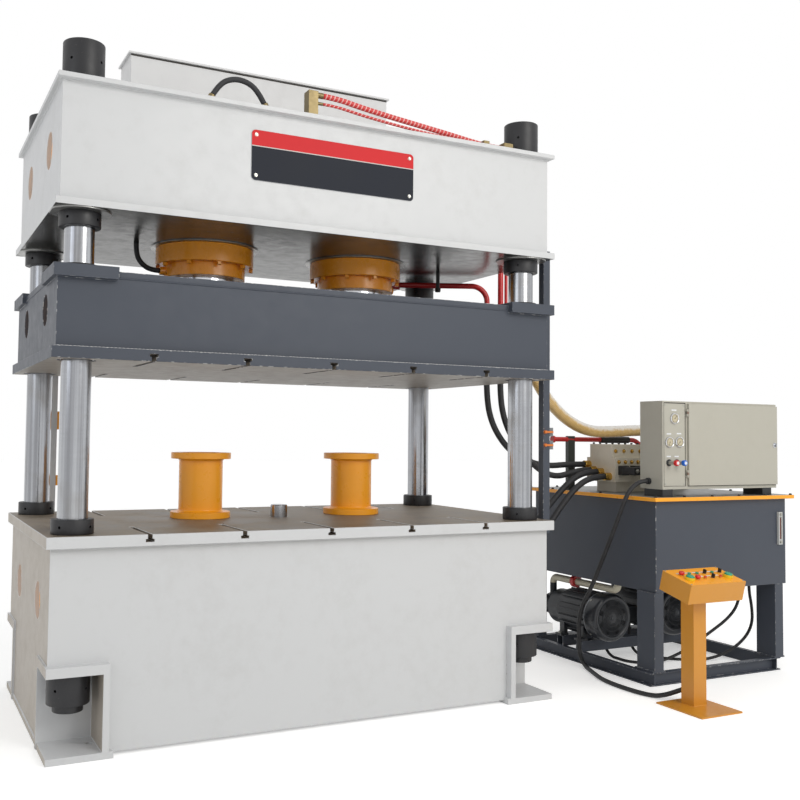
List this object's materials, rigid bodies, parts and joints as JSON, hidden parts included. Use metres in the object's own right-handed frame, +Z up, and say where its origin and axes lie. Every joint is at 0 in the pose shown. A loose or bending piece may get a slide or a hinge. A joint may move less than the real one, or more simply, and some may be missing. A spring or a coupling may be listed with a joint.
{
  "type": "four-column hydraulic press with power unit",
  "caption": "Four-column hydraulic press with ribbed bed, guided slide, crown cylinders, separate oil power unit, switch cabinet, hoses and an operator's pedestal.",
  "frame": {"origin": "on the floor, at the middle of the bed's anchor holes", "axes": "+X along the press's front from left to right towards the power unit, +Y from front to back, +Z up"},
  "size_m": [6.033, 2.795, 4.744],
  "materials": {
    "light_grey_paint": "semi-gloss light grey paint",
    "dark_grey_paint": "semi-gloss dark grey paint",
    "yellow_paint": "semi-gloss yellow paint",
    "sign_face": "printed plate with a red band over a dark blue field",
    "ground_steel": "ground bright",
    "black_steel": "blackened",
    "cylinder_steel": "yellow paint on the nose, bare above",
    "ram_chrome": "polished",
    "wiper_rubber": "matte black",
    "machined_steel": "machined",
    "switch_body": "grey body with an orange roller",
    "red_paint": "semi-gloss red paint",
    "sight_glass": "black frame with a clear tube",
    "motor_paint": "dark grey paint",
    "rotor_steel": "black fan on a steel shaft",
    "pump_iron": "as cast",
    "solenoid": "black coils on grey bodies",
    "cabinet_paint": "textured beige grey paint",
    "lock_chrome": "polished",
    "gear_plastic": "light grey devices on a galvanised plate",
    "gauge_case": "bright rim round a white dial",
    "red_knob": "gloss red",
    "blue_knob": "gloss blue",
    "red_plastic": "gloss red",
    "green_plastic": "gloss green",
    "black_plastic": "gloss black",
    "ribbed_hose": "ribbed clear and yellow plastic",
    "black_hose": "matte black",
    "red_hose": "red with a spiral sleeve"
  },
  "bodies": {
    "machine": {"crown": "light_grey_paint", "bed": "light_grey_paint", "rear_rail": "light_grey_paint", "prefill_tank": "light_grey_paint", "prefill_tank_cover": "light_grey_paint", "limit_switch_rail": "dark_grey_paint", "power_unit_frame": "dark_grey_paint", "oil_tank": "dark_grey_paint", "stop_blocks": "yellow_paint", "cylinder_ring_nuts": "yellow_paint", "rear_rail_boxes": "yellow_paint", "oil_tank_lid": "yellow_paint", "pedestal": "yellow_paint", "console": "yellow_paint", "sign_plate": "sign_face", "columns": "ground_steel", "column_end_nuts": "black_steel", "column_lock_nuts": "black_steel", "main_cylinders": "cylinder_steel", "ejector_cylinder": "machined_steel", "return_filter": "machined_steel", "valve_manifold": "machined_steel", "limit_switches": "switch_body", "red_pipes": "red_paint", "sight_glass": "sight_glass", "motor_left": "motor_paint", "motor_right": "motor_paint", "pumps": "pump_iron", "solenoid_valves": "solenoid", "cabinet": "cabinet_paint", "cabinet_gear": "gear_plastic", "pressure_gauges": "gauge_case", "return_hose": "ribbed_hose", "pressure_hoses": "black_hose", "ejector_hoses": "black_hose", "console_conduit": "black_hose", "motor_cables": "black_hose", "crown_hoses": "black_hose", "pilot_hoses": "red_hose"},
    "press_slide": {"slide": "dark_grey_paint", "guide_bushes": "ground_steel", "wiper_rings": "wiper_rubber", "rams": "ram_chrome"},
    "ejector_pin": {"ejector_rod": "ground_steel"},
    "door": {"cabinet_door": "cabinet_paint"},
    "lock": {"door_lock": "lock_chrome"},
    "red_knob": {"red_valve_knob": "red_knob"},
    "blue_knob": {"blue_valve_knob": "blue_knob"},
    "rotor_left": {"motor_rotor_left": "rotor_steel"},
    "rotor_right": {"motor_rotor_right": "rotor_steel"},
    "emergency_stop_button_body": {"emergency_stop_button": "red_plastic"},
    "green_button_left_body": {"green_button_left": "green_plastic"},
    "green_button_middle_body": {"green_button_middle": "green_plastic"},
    "selector_left_body": {"selector_left": "black_plastic"},
    "green_button_right_body": {"green_button_right": "green_plastic"},
    "selector_right_body": {"selector_right": "black_plastic"},
    "palm_button_left_body": {"palm_button_left": "green_plastic"},
    "return_button_body": {"return_button": "red_plastic"},
    "selector_middle_body": {"selector_middle": "black_plastic"},
    "palm_button_right_body": {"palm_button_right": "green_plastic"}
  },
  "joints": [
    {"name": "press_slide_travel", "type": "slide", "parent": "machine", "child": "press_slide", "axis": [0, 0, 1], "range_m": [-0.56, 0.08]},
    {"name": "ejector_travel", "type": "slide", "parent": "machine", "child": "ejector_pin", "axis": [0, 0, 1], "range_m": [-0.09, 0.1]},
    {"name": "cabinet_door_hinge", "type": "hinge", "parent": "machine", "child": "door", "pos_m": [3.098, -0.9633, 1.857], "axis": [0, 0, -1], "range_deg": [0, 105]},
    {"name": "door_lock_turn", "type": "hinge", "parent": "door", "child": "lock", "pos_m": [4.069, -0.96, 1.859], "axis": [0, 1, 0], "range_deg": [0, 90]},
    {"name": "red_valve_turn", "type": "hinge", "parent": "machine", "child": "red_knob", "pos_m": [2.908, -1.035, 1.713], "axis": [0, -1, 0], "range_deg": [-720, 720]},
    {"name": "blue_valve_turn", "type": "hinge", "parent": "machine", "child": "blue_knob", "pos_m": [2.99, -1.035, 1.713], "axis": [0, -1, 0], "range_deg": [-720, 720]},
    {"name": "rotor_left_spin", "type": "hinge", "parent": "machine", "child": "rotor_left", "pos_m": [2.87, 0, 0.4], "axis": [0, 1, 0], "continuous": true},
    {"name": "rotor_right_spin", "type": "hinge", "parent": "machine", "child": "rotor_right", "pos_m": [3.58, 0, 0.4], "axis": [0, 1, 0], "continuous": true},
    {"name": "emergency_stop_button_push", "type": "slide", "parent": "machine", "child": "emergency_stop_button_body", "axis": [0, 0.2419, -0.9703], "range_m": [0, 0.005]},
    {"name": "green_button_left_push", "type": "slide", "parent": "machine", "child": "green_button_left_body", "axis": [0, 0.2419, -0.9703], "range_m": [0, 0.005], "stiffness_N_per_m": 900, "springref_m": -0.004},
    {"name": "green_button_middle_push", "type": "slide", "parent": "machine", "child": "green_button_middle_body", "axis": [0, 0.2419, -0.9703], "range_m": [0, 0.005], "stiffness_N_per_m": 900, "springref_m": -0.004},
    {"name": "selector_left_turn", "type": "hinge", "parent": "machine", "child": "selector_left_body", "pos_m": [2.6515, -1.5481, 0.94042], "axis": [0, -0.2419, 0.9703], "range_deg": [-45, 45]},
    {"name": "green_button_right_push", "type": "slide", "parent": "machine", "child": "green_button_right_body", "axis": [0, 0.2419, -0.9703], "range_m": [0, 0.005], "stiffness_N_per_m": 900, "springref_m": -0.004},
    {"name": "selector_right_turn", "type": "hinge", "parent": "machine", "child": "selector_right_body", "pos_m": [2.7975, -1.5481, 0.94042], "axis": [0, -0.2419, 0.9703], "range_deg": [-45, 45]},
    {"name": "palm_button_left_push", "type": "slide", "parent": "machine", "child": "palm_button_left_body", "axis": [0, 0.2419, -0.9703], "range_m": [0, 0.005], "stiffness_N_per_m": 900, "springref_m": -0.004},
    {"name": "return_button_push", "type": "slide", "parent": "machine", "child": "return_button_body", "axis": [0, 0.2419, -0.9703], "range_m": [0, 0.005], "stiffness_N_per_m": 900, "springref_m": -0.004},
    {"name": "selector_middle_turn", "type": "hinge", "parent": "machine", "child": "selector_middle_body", "pos_m": [2.6515, -1.62572, 0.92107], "axis": [0, -0.2419, 0.9703], "range_deg": [-45, 45]},
    {"name": "palm_button_right_push", "type": "slide", "parent": "machine", "child": "palm_button_right_body", "axis": [0, 0.2419, -0.9703], "range_m": [0, 0.005], "stiffness_N_per_m": 900, "springref_m": -0.004}
  ]
}
